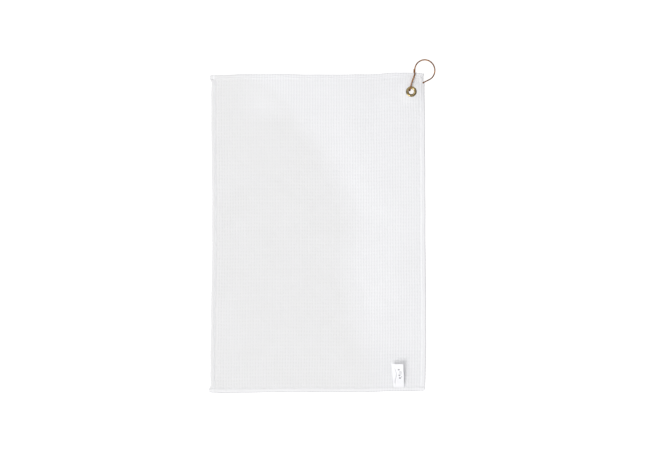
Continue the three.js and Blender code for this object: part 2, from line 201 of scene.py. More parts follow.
def calm(x, y):
    """0 at the grommet and the label, where the cloth is held down, and 1 away from them."""
    at_grommet = ease((from_grommet(x, y) - CALM_ROUND_GROMMET) / WAVES_GROW_FROM_GROMMET)
    middle = LABEL_HINGE.y + LABEL_LENGTH / 2
    off_label = np.hypot(
        np.maximum(np.abs(x - LABEL_HINGE.x) - LABEL_WIDTH / 2, 0),
        np.maximum(np.abs(y - middle) - LABEL_LENGTH / 2, 0),
    )
    return at_grommet * ease((off_label - CALM_ROUND_LABEL) / WAVES_GROW_FROM_LABEL)


def ripple(x, y):
    waves = sum(
        share * np.sin(2 * math.pi * (along_x * x + along_y * y) + phase)
        for along_x, along_y, phase, share in SLOW_WAVES
    )
    return WAVE_HEIGHT * calm(x, y) * (0.5 + 0.5 * waves)


def gathers(x, y):
    """Small radial tucks where the grommet grips the cloth."""
    away = from_grommet(x, y)
    angle = np.arctan2(y - GROMMET_Y, x - GROMMET_X)
    near = ease((away - FLANGE_RADIUS) / (2 * MM)) * (1 - ease((away - 13 * MM) / (9 * MM)))
    return GATHER_HEIGHT * near * (0.5 + 0.5 * np.sin(GATHERS * angle + 2 * np.sin(3 * angle)))


def ground(x, y):
    """Height of the cloth's underside, with every unevenness of how it lies."""
    return lift(x, y) + ripple(x, y) + gathers(x, y)


# How far each edge lies to the right of its cut, or up from it, in millimetres, at places along it
# from -1 to 1
ASTRAY = {
    "left": [(-1, -1.9), (-0.92, -3.1), (-0.55, -1.8), (-0.1, 0.3), (0.15, 0.4), (0.85, -1.4), (1, -1.4)],
    "right": [(-1, 1.6), (-0.92, 2.3), (-0.8, 3.3), (-0.4, 3.2), (0, 2.0), (0.8, 1.3), (1, 1.3)],
    "bottom": [(-1, 1.6), (-0.85, 0), (-0.5, 0.8), (-0.2, 0.6), (0.4, -0.7), (0.7, 0.4), (1, 0.7)],
    "top": [
        (-1, -1.1), (-0.7, 0), (-0.4, -0.2), (0.05, -2.2), (0.45, -2.4), (0.7, 0), (0.9, -0.3), (1, -1.6),
    ],
}
# For each corner by (side, end), in millimetres: how far its ear sticks out sideways, how far the
# side is drawn in next to it, how far from the end and over what length, and the corner's rounding
CORNERS = {
    (-1, 1): (2.9, 1.2, 17, 8, 2.8),
    (-1, -1): (3.4, 0.8, 17, 8, 2.8),
    (1, 1): (0, 3.6, 9.5, 8, 3.0),
    (1, -1): (0, 0.8, 12, 9, 4.2),
}
EAR_LENGTH = 8 * MM
EDGE_GRIP = 22 * MM  # how far from the edge an ear or a pinch is felt
HELD_BY_GROMMET, FREE_OF_GROMMET = 14 * MM, 30 * MM
EDGE_WANDER = 0.2 * MM


def bell(t):
    return np.exp(-t * t)


def astray(edge, along):
    """How far an edge lies from its cut at places along it."""
    places, amounts = np.array(ASTRAY[edge]).T
    k = np.clip(np.searchsorted(places, along, side="right") - 1, 0, len(places) - 2)
    share = ease((along - places[k]) / (places[k + 1] - places[k]))
    return (amounts[k] + (amounts[k + 1] - amounts[k]) * share) * MM


def strayed(u, v):
    """Sideways and lengthways displacement of a point (u, v) of the cut cloth."""
    s, t = u / HALF_WIDTH, v / HALF_LENGTH
    left, right = astray("left", t), astray("right", t)
    bottom, top = astray("bottom", s), astray("top", s)
    dx = left + (right - left) * (s + 1) / 2
    dy = bottom + (top - bottom) * (t + 1) / 2
    for (side, end), (ear, pinch, pinch_at, pinch_length, _) in CORNERS.items():
        from_side = HALF_WIDTH - side * u
        from_end = HALF_LENGTH - end * v
        felt = 1 - ease(from_side / EDGE_GRIP)
        out = ear * (1 - ease((from_end - EAR_LENGTH * 0.8) / EAR_LENGTH))
        drawn = pinch * bell((from_end - pinch_at * MM) / (pinch_length * MM))
        dx = dx + side * felt * (out - drawn) * MM
    free = ease((from_grommet(u, skewed(u, v)) - HELD_BY_GROMMET) / FREE_OF_GROMMET)
    wander = EDGE_WANDER * free
    dx = dx + wander * np.sin(2 * math.pi * (v / 0.083 + u / 0.31) + 0.8)
    dy = dy + wander * np.sin(2 * math.pi * (u / 0.071 - v / 0.27) + 2.2)
    return dx * free, dy * free


def rounded_off(u, v):
    """The point with the towel's four square corners drawn in to arcs."""
    for (side, end), (*_, radius) in CORNERS.items():
        radius = radius * MM
        a = np.maximum(side * u - (HALF_WIDTH - radius), 0)
        b = np.maximum(end * v - (HALF_LENGTH - radius), 0)
        in_x = a * (1 - np.sqrt(1 - b**2 / (2 * radius**2)))
        in_y = b * (1 - np.sqrt(1 - a**2 / (2 * radius**2)))
        u, v = u - side * in_x, v - end * in_y
    return u, v


def laid(u, v):
    """Plan position of a point (u, v) of the cut cloth."""
    dx, dy = strayed(u, v)
    u, v = rounded_off(u, v)
    return u + dx, skewed(u, v) + dy


PUCKER_HEIGHT = 0.16 * MM
PUCKER_PHASE = {"top": 3.0, "bottom": 1.0, "right": 6.0, "left": 4.0}


def pucker(along, phase):
    """Uneven pull of a hem's seam, from -1 to 1."""
    return (
        0.45 * np.sin(2 * math.pi * along / 0.0093 + phase)
        + 0.33 * np.sin(2 * math.pi * along / 0.0147 + 2.3 * phase + 1)
        + 0.22 * np.sin(2 * math.pi * along / 0.0261 + 3.1 * phase + 2)
    )


# -------- mesh helpers


def new_object(name, vertices, faces, material, uv):
    """A smooth mesh object. uv holds one place in metres for each vertex, or each face corner."""
    mesh = bpy.data.meshes.new(name)
    mesh.from_pydata(vertices.tolist(), [], [list(map(int, face)) for face in faces])
    layer = mesh.uv_layers.new(name="Cut")
    corners = np.empty(len(mesh.loops), np.int32)
    mesh.loops.foreach_get("vertex_index", corners)
    at = uv[corners] if len(uv) == len(vertices) else uv
    layer.uv.foreach_set("vector", at.astype(np.float32).ravel())
    mesh.polygons.foreach_set("use_smooth", np.ones(len(mesh.polygons), bool))
    mesh.materials.append(material)
    mesh.validate()
    made = bpy.data.objects.new(name, mesh)
    bpy.context.scene.collection.objects.link(made)
    return made


def grid_faces(across, down, first=0):
    """Quads over a grid stored row by row, facing +Z when x grows across and y grows down."""
    j, i = np.mgrid[0 : down - 1, 0 : across - 1]
    corner = first + (j * across + i).ravel()
    return np.stack([corner, corner + 1, corner + across + 1, corner + across], 1)


def loop_of(across, down, first=0):
    """The outline of a grid, once round, anticlockwise seen from +Z."""
    grid = first + np.arange(across * down).reshape(down, across)
    return np.concatenate([grid[0, :-1], grid[:-1, -1], grid[-1, :0:-1], grid[:0:-1, 0]])


def zipped(fine, coarse, places):
    """Triangles between two closed outlines, which both start at the same corner."""
    faces = []
    i = j = 0
    while i < len(fine) or j < len(coarse):
        a, b = fine[i % len(fine)], coarse[j % len(coarse)]
        next_a, next_b = fine[(i + 1) % len(fine)], coarse[(j + 1) % len(coarse)]
        by_fine = np.linalg.norm(places[next_a] - places[b])
        by_coarse = np.linalg.norm(places[next_b] - places[a])
        if j == len(coarse) or (i < len(fine) and by_fine <= by_coarse):
            faces.append((a, b, next_a))
            i += 1
        else:
            faces.append((a, b, next_b))
            j += 1
    return faces


def tube(path, radii, sides):
    """Vertices, faces and uv (round, along) of a round tube along a path of points."""
    steps = np.linalg.norm(np.diff(path, axis=0), axis=1)
    along = np.concatenate([[0], np.cumsum(steps)])
    tangents = np.gradient(path, axis=0)
    tangents /= np.linalg.norm(tangents, axis=1)[:, None]
    normal = np.cross(tangents[0], [0.0, 0.0, 1.0])
    if np.linalg.norm(normal) < 1e-3:
        normal = np.cross(tangents[0], [1.0, 0.0, 0.0])
    normals = []
    for tangent in tangents:
        normal = normal - tangent * (normal @ tangent)
        normal = normal / np.linalg.norm(normal)
        normals.append(normal)
    normals = np.array(normals)
    binormals = np.cross(tangents, normals)
    angle = 2 * math.pi * np.arange(sides) / sides
    cosine, sine = np.cos(angle)[None, :, None], np.sin(angle)[None, :, None]
    ring = normals[:, None] * cosine + binormals[:, None] * sine
    vertices = (path[:, None] + ring * np.asarray(radii)[:, None, None]).reshape(-1, 3)
    k, i = np.mgrid[0 : len(path) - 1, 0:sides]
    here, after = (k * sides + i).ravel(), (k * sides + (i + 1) % sides).ravel()
    faces = [tuple(f) for f in np.stack([here, after, after + sides, here + sides], 1)]
    last = (len(path) - 1) * sides
    faces.append(tuple(range(sides - 1, -1, -1)))
    faces.append(tuple(last + n for n in range(sides)))
    # The uv goes by face corner, so that the strip closes on itself without a seam.
    uv = []
    girth = 2 * math.pi * float(np.median(radii))
    for face in faces:
        turns = [n % sides for n in face]
        wraps = len(face) == 4 and max(turns) - min(turns) > 1
        for n, turn in zip(face, turns):
            round_it = sides if wraps and turn == 0 else turn
            uv.append((girth * round_it / sides, along[n // sides]))
    return vertices, faces, np.array(uv)


# -------- material helpers


class Output:
    """A shader node's output. Arithmetic and the calls below add nodes that work on it."""

    def __init__(self, socket):
        self.socket = socket

    def into(self, kind, settings, inputs, output=0):
        return Output(add(self.socket.id_data, kind, settings, inputs).outputs[output])

    def math(self, operation, other=0.0):
        return self.into("Math", {"operation": operation}, {0: self, 1: other})

    def __add__(self, other):
        return self.math("ADD", other)

    def __sub__(self, other):
        return self.math("SUBTRACT", other)

    def __rsub__(self, other):
        return self.into("Math", {"operation": "SUBTRACT"}, {0: other, 1: self})

    def __mul__(self, other):
        return self.math("MULTIPLY", other)

    def __abs__(self):
        return self.math("ABSOLUTE")

    def larger(self, other):
        return self.math("MAXIMUM", other)

    def vector(self, operation, other=(0.0, 0.0, 0.0)):
        output = "Value" if operation in ("LENGTH", "DOT_PRODUCT") else "Vector"
        return self.into("VectorMath", {"operation": operation}, {0: self, 1: other}, output)

    def split(self):
        """Its x, y and z."""
        parts = add(self.socket.id_data, "SeparateXYZ", {}, {0: self}).outputs
        return [Output(part) for part in parts]

    def remap(self, low, high, to_low, to_high):
        """Its range from low to high made to_low to to_high, and held there beyond it."""
        return self.into("MapRange", {}, {0: self, 1: low, 2: high, 3: to_low, 4: to_high})

    def colour(self, a, b):
        """Colour a where it is 0 and b where it is 1."""
        return self.into("Mix", {"data_type": "RGBA"}, {0: self, 6: a, 7: b}, 2)

    def noise(self, scale, detail=3.0, roughness=0.5):
        inputs = {"Vector": self, "Scale": scale, "Detail": detail, "Roughness": roughness}
        return self.into("TexNoise", {}, inputs, "Fac")

    def wave(self, pitch, phase=0.0):
        """A wave from 0 to 1 along a coordinate in metres."""
        angle = self * (2 * math.pi / pitch) + phase
        return angle.math("SINE").remap(-1.0, 1.0, 0.0, 1.0)

    def bump(self, distance, strength, normal=None):
        inputs = {"Height": self, "Distance": distance, "Strength": strength}
        if normal is not None:
            inputs["Normal"] = normal
        return self.into("Bump", {}, inputs, "Normal")


def set_input(socket, value):
    """Links an Output to the socket, or sets any other value on it."""
    if isinstance(value, Output):
        socket.id_data.links.new(value.socket, socket)
    else:
        socket.default_value = value


def add(tree, kind, settings=None, inputs=None):
    made = tree.nodes.new("ShaderNode" + kind)
    for name, value in (settings or {}).items():
        setattr(made, name, value)
    for key, value in (inputs or {}).items():
        set_input(made.inputs[key], value)
    return made


def new_material(name):
    """A new material, and its Principled shader."""
    material = bpy.data.materials.new(name)
    material.use_nodes = True
    return material, material.node_tree.nodes["Principled BSDF"]


def cut_places(material):
    """The piece's own flat coordinates, in metres."""
    return Output(add(material.node_tree, "UVMap", {"uv_map": "Cut"}).outputs["UV"])


def frame_places(material):
    return Output(add(material.node_tree, "TexCoord").outputs["Object"])


def set_shader(shader, **inputs):
    """Links or sets the shader's inputs, such as Base_Color."""
    for name, value in inputs.items():
        set_input(shader.inputs[name.replace("_", " ")], value)


# -------- materials

YARN_PITCH = 0.62 * MM
YARN_WANDER = 0.3 * MM
PLAIN_TONE = (0.846, 0.844, 0.839, 1)
CLOUD_TONE = (0.88, 0.88, 0.885, 1)
BETWEEN_YARNS = (0.74, 0.74, 0.75, 1)
# Painted light for the inner band of the left and bottom hems, and painted shade for the folded edges
PAINTED_HEM_LIGHT = (0.955, 0.955, 0.96, 1)
PAINTED_FOLD_SHADE = (0.66, 0.66, 0.67, 1)
# Painted shade for the floors of the waffle cells
PAINTED_CELL_SHADE = (0.5, 0.5, 0.53, 1)

# A print on the other face makes the cloth lighter to the right of an edge, which bends to the
# left towards the top and slightly to the right towards the bottom
PRINTED_TONE = (0.938, 0.939, 0.945, 1)
FADED_TONE = (0.872, 0.873, 0.881, 1)
PRINT_EDGE = 60 * MM
PRINT_EDGE_BLUR = 26 * MM
PRINT_BEND_ABOVE = -2.15  # per metre
PRINT_BEND_BELOW = 0.47


def past_print_edge(x, y, uneven):
    """How far a place is to the right of the print's edge, in metres."""
    edge = PRINT_EDGE
    for nearer, bend in (("MAXIMUM", PRINT_BEND_ABOVE), ("MINIMUM", PRINT_BEND_BELOW)):
        off_middle = y.math(nearer)
        edge = off_middle * off_middle * bend + edge
    return x - edge + uneven.remap(0.3, 0.7, -0.012, 0.012)


def ground_tone(x, y, beyond, printed):
    """The cloth's tone: plain, or lighter past the print's edge and in a patch at the upper left,
    which fades to the right and towards both ends."""
    patch = x.remap(-0.165, -0.11, 0.0, 0.5) * y.remap(0.212, 0.242, 0.0, 1.0)
    to_ends = y.remap(-0.26, -0.14, 0.65, 0.0).larger(y.remap(0.15, 0.25, 0.0, 0.3))
    fading = beyond.remap(0.05, 0.26, 0.0, 1.0).larger(to_ends)
    return printed.larger(patch).colour(PLAIN_TONE, fading.colour(PRINTED_TONE, FADED_TONE))


def with_painted_hem_light_and_shade(colour, x, y):
    """Painted shade on the folded edges, stronger at the right and the bottom, and a band of painted
    light on the inner part of the left and bottom hems, which lifts the shade of their inner step.
    """
    grey, hem_light = 0.0, 0.0
    # For the side hems and the end hems: how much painted shade the fold gets at the left or bottom
    # and at the right or top, and the painted light band's middle, half width, outer limit and strength
    for at, half, greys, (middle, reach, limit, strength) in (
        (x, HALF_WIDTH, (0.45, 0.72), (7 * MM, 0.9 * MM, 1.6 * MM, 1.0)),
        (y, HALF_LENGTH, (0.95, 0.45), (5 * MM, 2.8 * MM, 3.6 * MM, 0.6)),
    ):
        from_edge = half - abs(at)
        at_fold = from_edge.remap(0.8 * MM, 2.4 * MM, 1.0, 0.0)
        grey = (at_fold * at.remap(-0.01, 0.01, *greys)).larger(grey)
        in_band = abs(from_edge - middle).remap(reach, limit, 1.0, 0.0)
        hem_light = (in_band * at.remap(-0.01, 0.01, strength, 0.0)).larger(hem_light)
    return grey.colour(hem_light.colour(colour, PAINTED_HEM_LIGHT), PAINTED_FOLD_SHADE)


def cloth_material():
    """White waffle microfibre: split yarns both ways, a soft fuzz, a lighter, cooler tone where the print
    shows through, painted shade in the floors of the cells and on the folded edges, and painted light
    on the inner part of the left and bottom hems."""
    material, shader = new_material("waffle_microfibre")
    place = cut_places(material)
    x, y, _ = place.split()
    wander = place.noise(260.0, 2.0) * YARN_WANDER
    yarns = (x + wander).wave(YARN_PITCH).larger((y + wander).wave(YARN_PITCH))
    tufts = place.noise(700.0, 3.0, 0.6)
    fuzz = place.noise(3200.0, 4.0, 0.65)
    tufted = tufts.bump(0.16 * MM, 0.5, yarns.bump(0.09 * MM, 0.55))
    beyond = past_print_edge(x, y, place.noise(7.0))
    printed = beyond.remap(-PRINT_EDGE_BLUR, PRINT_EDGE_BLUR, 0.0, 1.0)
    clouds = place.noise(16.0, 4.0).remap(0.3, 0.7, 0.0, 0.35)
    clouded = clouds.colour(ground_tone(x, y, beyond, printed), CLOUD_TONE)
    woven = yarns.remap(0.3, 0.8, 0.12, 0.0).colour(clouded, BETWEEN_YARNS)
    # Painted shade in the floors of the cells, where the print shows through
    floors = (x + INNER_X).wave(PITCH_X, -math.pi / 2)
    shade = floors * printed * 0.12
    set_shader(
        shader,
        Base_Color=shade.colour(with_painted_hem_light_and_shade(woven, x, y), PAINTED_CELL_SHADE),
        Roughness=tufts.remap(0.3, 0.7, 0.82, 0.97),
        Normal=fuzz.bump(0.06 * MM, 0.6, tufted),
        Specular_IOR_Level=0.25,
        Sheen_Weight=0.22,
        Sheen_Roughness=0.55,
    )
    return material


def thread_material():
    """Three-ply polyester sewing thread: plies wound round each other, with a soft gloss."""
    material, shader = new_material("sewing_thread")
    place = cut_places(material)
    around, along, _ = place.split()
    plies = (around * 3.0 + along).wave(2 * math.pi * THREAD_RADIUS)
    fibres = place.noise(5200.0, 2.0)
    set_shader(
        shader,
        Base_Color=plies.colour((0.78, 0.78, 0.79, 1), (0.90, 0.90, 0.91, 1)),
        Roughness=fibres.remap(0.3, 0.7, 0.42, 0.62),
        Normal=fibres.bump(0.02 * MM, 0.5, plies.bump(0.1 * MM, 0.9)),
        Sheen_Weight=0.2,
    )
    return material


BRASS = (0.70, 0.54, 0.27, 1)
TARNISHED_BRASS = (0.17, 0.13, 0.045, 1)
# Painted dark reflection for two opposite sides of the rim, along DARK_SIDES
PAINTED_RIM_REFLECTION = (0.10, 0.078, 0.022, 1)
# Painted shade for the bore, its circle shifted towards the lower left
PAINTED_BORE_SHADE = (0.10, 0.05, 0.018, 1)
BORE_SHADE_OFFSET = (0.4 * MM, 1.1 * MM, 0.0)
DARK_SIDES = (0.97, -0.26, 0.0)  # the direction in which the rim darkens, both ways


def brass_material():
    """Polished brass pressing: turned lines, finger smudges, darker tarnish in the low parts, painted
    dark reflections on two opposite sides of the rim, and painted shade in the bore."""
    material, shader = new_material("polished_brass")
    at = frame_places(material)
    along_profile = cut_places(material).split()[1]
    lines = along_profile.into("CombineXYZ", {}, {0: along_profile}).noise(9000.0, 2.0)
    tarnish = at.noise(260.0, 5.0, 0.65).remap(0.45, 0.75, 0.0, 0.35)
    low = at.split()[2].remap(FLANGE_BOTTOM_Z, EYELET_HIGH.z, 1.0, 0.0)
    plating = low.larger(tarnish).colour(BRASS, TARNISHED_BRASS)
    # Painted dark reflections on the rim's outer part, on the sides along DARK_SIDES
    from_axis = at.vector("SUBTRACT", (GROMMET_X, GROMMET_Y, 0))
    in_plan = from_axis.vector("MULTIPLY", (1.0, 1.0, 0.0))
    to_sides = abs(in_plan.vector("NORMALIZE").vector("DOT_PRODUCT", DARK_SIDES))
    outer = in_plan.vector("LENGTH").remap(7.4 * MM, 9.2 * MM, 0.0, 1.0)
    rim_reflection = outer * to_sides.remap(0.35, 0.85, 0.1, 0.95)
    # Painted shade in the bore, reaching further out on its lower left side
    off_centre = in_plan.vector("ADD", BORE_SHADE_OFFSET).vector("LENGTH")
    bore_shade = off_centre.remap(BORE_RADIUS + 0.3 * MM, BORE_RADIUS + MM, 0.92, 0.0)
    set_shader(
        shader,
        Base_Color=bore_shade.colour(rim_reflection.colour(plating, PAINTED_RIM_REFLECTION), PAINTED_BORE_SHADE),
        Roughness=at.noise(420.0, 4.0, 0.6).remap(0.3, 0.7, 0.16, 0.32),
        Normal=lines.bump(0.01 * MM, 0.35),
        Metallic=1.0,
        Specular_Tint=(0.85, 0.68, 0.38, 1),
    )
    return material


def bronze_material():
    """Bronzed wire: a dark finish rubbed through to copper in places, with drawing lines."""
    material, shader = new_material("bronzed_wire")
    at = frame_places(material)
    stretched = cut_places(material).vector("MULTIPLY", (9000.0, 260.0, 1.0))
    drawn = stretched.noise(1.0, 3.0)
    patches = at.noise(95.0, 3.0, 0.55).remap(0.46, 0.62, 0.0, 1.0)
    specks = at.noise(1300.0, 4.0, 0.7).remap(0.55, 0.75, 0.0, 0.5)
    rubbed = patches.larger(specks)
    set_shader(
        shader,
        Base_Color=rubbed.colour((0.185, 0.080, 0.028, 1), (0.54, 0.26, 0.095, 1)),
        Roughness=drawn.remap(0.3, 0.7, 0.24, 0.42),
        Normal=drawn.bump(0.02 * MM, 0.5),
        Metallic=1.0,
        Specular_Tint=(0.60, 0.34, 0.17, 1),
    )
    return material


# Generic printed marks of the label, in its flat coordinates: plain bars and blocks in
# millimetres, as (middle across, middle along, width, length).
PRINTED_BARS = [
    (1.4, 34.6, 3.2, 2.4), (4.4, 30.6, 5.0, 0.7), (4.4, 28.4, 5.0, 0.7), (4.4, 26.2, 5.0, 0.7),
    (2.0, 23.4, 3.2, 2.6), (6.4, 21.0, 1.0, 2.4), (2.6, 18.4, 3.4, 2.6),
]
INK = (0.22, 0.22, 0.23, 1)
SATIN = (0.92, 0.92, 0.935, 1)
SELVEDGE = (0.86, 0.86, 0.88, 1)
# Painted shade along the ribbon's crease
PAINTED_CREASE_SHADE = (0.56, 0.56, 0.58, 1)

# The ribbon's crease: where it runs, how far it sways over what length, and where it sways most
CREASE_X = -5.2 * MM
CREASE_SWAY = 1.8 * MM
CREASE_PITCH = 34 * MM
CREASE_PEAK = 26 * MM


def bar_mask(x, y, bar):
    """1 inside a bar and 0 outside, with an inky, slightly soft edge."""
    middle_x, middle_y, width, length = (size * MM for size in bar)
    beyond = (abs(x - middle_x) - width / 2).larger(abs(y - middle_y) - length / 2)
    return beyond.remap(0.0, 0.12 * MM, 1.0, 0.0)


def crease_mask(x, y):
    """How much of the crease's shadow falls on a place of the ribbon."""
    sway = (y - CREASE_PEAK).wave(CREASE_PITCH, math.pi / 2)
    off_crease = abs(x - sway.remap(0.0, 1.0, CREASE_X - CREASE_SWAY, CREASE_X + CREASE_SWAY))
    fading = abs(y - LABEL_LENGTH / 2).remap(12 * MM, 18 * MM, 1.0, 0.0)
    return off_crease.remap(0.3 * MM, 1.3 * MM, 0.8, 0.0) * fading


def satin_material():
    """White satin ribbon: fine cross ribs, a denser selvedge, painted shade along a crease and printed
    grey bars.
    """
    material, shader = new_material("satin_ribbon")
    place = cut_places(material)
    x, y, _ = place.split()
    floats = place.vector("MULTIPLY", (9000.0, 1200.0, 1.0)).noise(1.0, 2.0)
    printed = 0.0
    for bar in PRINTED_BARS:
        printed = bar_mask(x, y, bar).larger(printed)
    inked = printed * floats.remap(0.3, 0.7, 0.65, 0.95)
    plain = abs(x).remap(9.2 * MM, 9.9 * MM, 0.0, 1.0).colour(SATIN, SELVEDGE)
    # Painted shade along the crease
    crease_shaded = crease_mask(x, y).colour(plain, PAINTED_CREASE_SHADE)
    set_shader(
        shader,
        Base_Color=inked.colour(crease_shaded, INK),
        Roughness=floats.remap(0.3, 0.7, 0.34, 0.5),
        Normal=floats.bump(0.02 * MM, 0.4, y.wave(0.34 * MM).bump(0.035 * MM, 0.6)),
        Sheen_Weight=0.15,
    )
    return material


# -------- cloth

# The hem's section from its folded edge inwards: distance from the edge and height of its top.
# The seam's furrow and the lip of the inner fold are in it.
HEM_SECTION = np.array([
    (0.0, 2.60), (0.3, 2.60), (1.0, 2.60), (2.2, 2.66), (4.4, 2.64), (5.3, 2.60), (5.75, 2.46),
    (6.1, 2.38), (6.45, 2.46), (6.85, 2.52), (7.3, 2.36), (7.6, 1.95), (7.85, 1.58),
]) * MM
ROLLED = np.array([(0.0, 0.0), (0.3, 0.74), (1.0, 0.96), (2.2, 1.0)])
UNDER_HEM_LINES = np.array([0.9, 2.4, 5.4, 6.1, 6.8]) * MM
UNDER_FURROW = 0.42 * MM
CORNER_EXTRA = 0.45 * MM  # the side hem under the end hem makes the corner thicker


def from_edges(u, v):
    """Distances from the nearer side and from the nearer end."""
    return HALF_WIDTH - np.abs(u), HALF_LENGTH - np.abs(v)


def hem_top(from_edge):
    return np.interp(from_edge, HEM_SECTION[:, 0], HEM_SECTION[:, 1])


def rolled(from_edge):
    """0 at the folded edge, 1 where the hem is flat."""
    return np.interp(from_edge, ROLLED[:, 0] * MM, ROLLED[:, 1])


def weave_lines(inner, pitch, cells):
    """Grid lines over the cells, and whether each lies on a ridge."""
    shares = np.array([0, CELL_SLOPE, 1 - CELL_SLOPE])
    lines = -inner + pitch * (np.arange(cells)[:, None] + shares).ravel()
    ridges = np.tile([1.0, 0.0, 0.0], cells)
    return np.append(lines, inner), np.append(ridges, 1.0)


def with_hems(lines, ridges, half):
    hem = HEM_SECTION[:, 0]
    all_lines = np.concatenate([hem - half, lines, (half - hem)[::-1]])
    none = np.zeros(len(hem))
    return all_lines, np.concatenate([none, ridges, none])


def cloth_squeeze(x, y):
    """0 under the grommet's flange, where the weave is pressed flat, and 1 away from it."""
    return ease((from_grommet(x, y) - FLANGE_RADIUS - 0.5 * MM) / (4 * MM))


def top_height(u, v, ridge):
    """Height of the cloth's face over its underside."""
    from_side, from_end = from_edges(u, v)
    in_end, in_side = from_end < HEM_WIDTH + 0.4 * MM, from_side < HEM_WIDTH + 0.4 * MM
    hem = np.where(in_end, hem_top(from_end), hem_top(from_side))
    along = np.where(in_end, u, v)
    end_phase = np.where(v > 0, PUCKER_PHASE["top"], PUCKER_PHASE["bottom"])
    side_phase = np.where(u > 0, PUCKER_PHASE["right"], PUCKER_PHASE["left"])
    inside = np.where(in_end, from_end, from_side)
    pulled = bell((inside - SEAM_FROM_EDGE) / (2.6 * MM))
    puckered = PUCKER_HEIGHT * pulled * pucker(along, np.where(in_end, end_phase, side_phase))
    hem = hem + puckered - 0.12 * MM * (1 - ridge)
    both = (1 - ease((from_side - HEM_WIDTH) / MM)) * (1 - ease((from_end - 5 * MM) / (2 * MM)))
    hem = hem + CORNER_EXTRA * both
    squeeze = cloth_squeeze(*laid(u, v))
    field = CLOTH_THICKNESS - RELIEF * (1 - ridge) * squeeze
    body = np.where(in_end | in_side, hem, field)
    return RIM_Z + (body - RIM_Z) * rolled(from_side) * rolled(from_end)


SCALLOP = 0.14 * MM
HEIGHT_JITTER = 0.035 * MM


def under_height(u, v, sunk):
    """Height of the cloth's underside over where it lies. sunk is 1 where the weave rises."""
    from_side, from_end = from_edges(u, v)
    flat = rolled(from_side) * rolled(from_end)
    seam = np.maximum(
        bell((from_side - SEAM_FROM_EDGE) / (0.45 * MM)) * (from_end > HEM_WIDTH),
        bell((from_end - SEAM_FROM_EDGE) / (0.45 * MM)),
    )
    relief = UNDER_RELIEF * sunk * cloth_squeeze(*laid(u, v))
    return RIM_Z * (1 - flat) + UNDER_FURROW * seam + relief


def scalloped(u, v):
    """A small in and out of the folded edge, where it crosses the ridges of the weave."""
    from_side, from_end = from_edges(u, v)
    at_side, at_end = 1 - ease(from_side / MM), 1 - ease(from_end / MM)
    dx = np.sign(u) * at_side * SCALLOP * np.cos(2 * math.pi * v / PITCH_Y)
    dy = np.sign(v) * at_end * SCALLOP * np.cos(2 * math.pi * u / PITCH_X)
    return dx, dy


def cloth_points(u, v, height):
    x, y = laid(u, v)
    dx, dy = scalloped(u, v)
    return np.stack([x + dx, y + dy, ground(x, y) + height], -1)


def under_lines(half, inner, pitch, cells):
    """Grid lines of the underside: the hem's, one at each edge of a cell, and the other hem's."""
    hem = UNDER_HEM_LINES - half
    return np.concatenate([hem, -inner + pitch * np.arange(cells + 1), -hem[::-1]])


def cell_middles(lines):
    edges = lines[len(UNDER_HEM_LINES) : -len(UNDER_HEM_LINES)]
    return (edges[:-1] + edges[1:]) / 2


def cloth_mesh():
    """Vertices, faces and flat coordinates of the cloth, without the grommet's hole."""
    lines_x, ridge_x = with_hems(*weave_lines(INNER_X, PITCH_X, CELLS_ACROSS), HALF_WIDTH)
    lines_y, ridge_y = with_hems(*weave_lines(INNER_Y, PITCH_Y, CELLS_ALONG), HALF_LENGTH)
    u, v = np.meshgrid(lines_x, lines_y)
    crossing = np.minimum(ridge_x[None, :], ridge_y[:, None])
    on_ridge = np.maximum(0.96 * ridge_x[None, :], CROSS_RIDGE * ridge_y[:, None]) + 0.04 * crossing
    jitter = HEIGHT_JITTER * random.standard_normal(u.shape)
    inside = (np.abs(u) < INNER_X) & (np.abs(v) < INNER_Y)
    top = cloth_points(u, v, top_height(u, v, on_ridge) + jitter * inside)

    under_x = under_lines(HALF_WIDTH, INNER_X, PITCH_X, CELLS_ACROSS)
    under_y = under_lines(HALF_LENGTH, INNER_Y, PITCH_Y, CELLS_ALONG)
    p, q = np.meshgrid(under_x, under_y)
    woven = (np.abs(p) <= INNER_X + 1e-9) & (np.abs(q) <= INNER_Y + 1e-9)
    under = cloth_points(p, q, under_height(p, q, woven * 1.0))

    m, n = np.meshgrid(cell_middles(under_x), cell_middles(under_y))
    floors = cloth_points(m, n, under_height(m, n, np.zeros(m.shape)))

    vertices = np.concatenate([a.reshape(-1, 3) for a in (top, under, floors)])
    flat = np.concatenate([np.stack([a, b], -1).reshape(-1, 2) for a, b in ((u, v), (p, q), (m, n))])
    top_count, under_count = u.size, p.size
    down, across = p.shape
    hems = len(UNDER_HEM_LINES)
    faces = [tuple(f) for f in grid_faces(len(lines_x), len(lines_y))]
    for f in grid_faces(across, down, top_count):
        j, i = divmod(int(f[0]) - top_count, across)
        cell_i, cell_j = i - hems, j - hems
        if 0 <= cell_i < CELLS_ACROSS and 0 <= cell_j < CELLS_ALONG:
            centre = top_count + under_count + cell_j * CELLS_ACROSS + cell_i
            faces += [(f[k], centre, f[(k + 1) % 4]) for k in range(4)]
        else:
            faces.append(tuple(f[::-1]))
    rim = loop_of(len(lines_x), len(lines_y))
    faces += zipped(rim, loop_of(across, down, top_count), vertices)
    return vertices, faces, flat


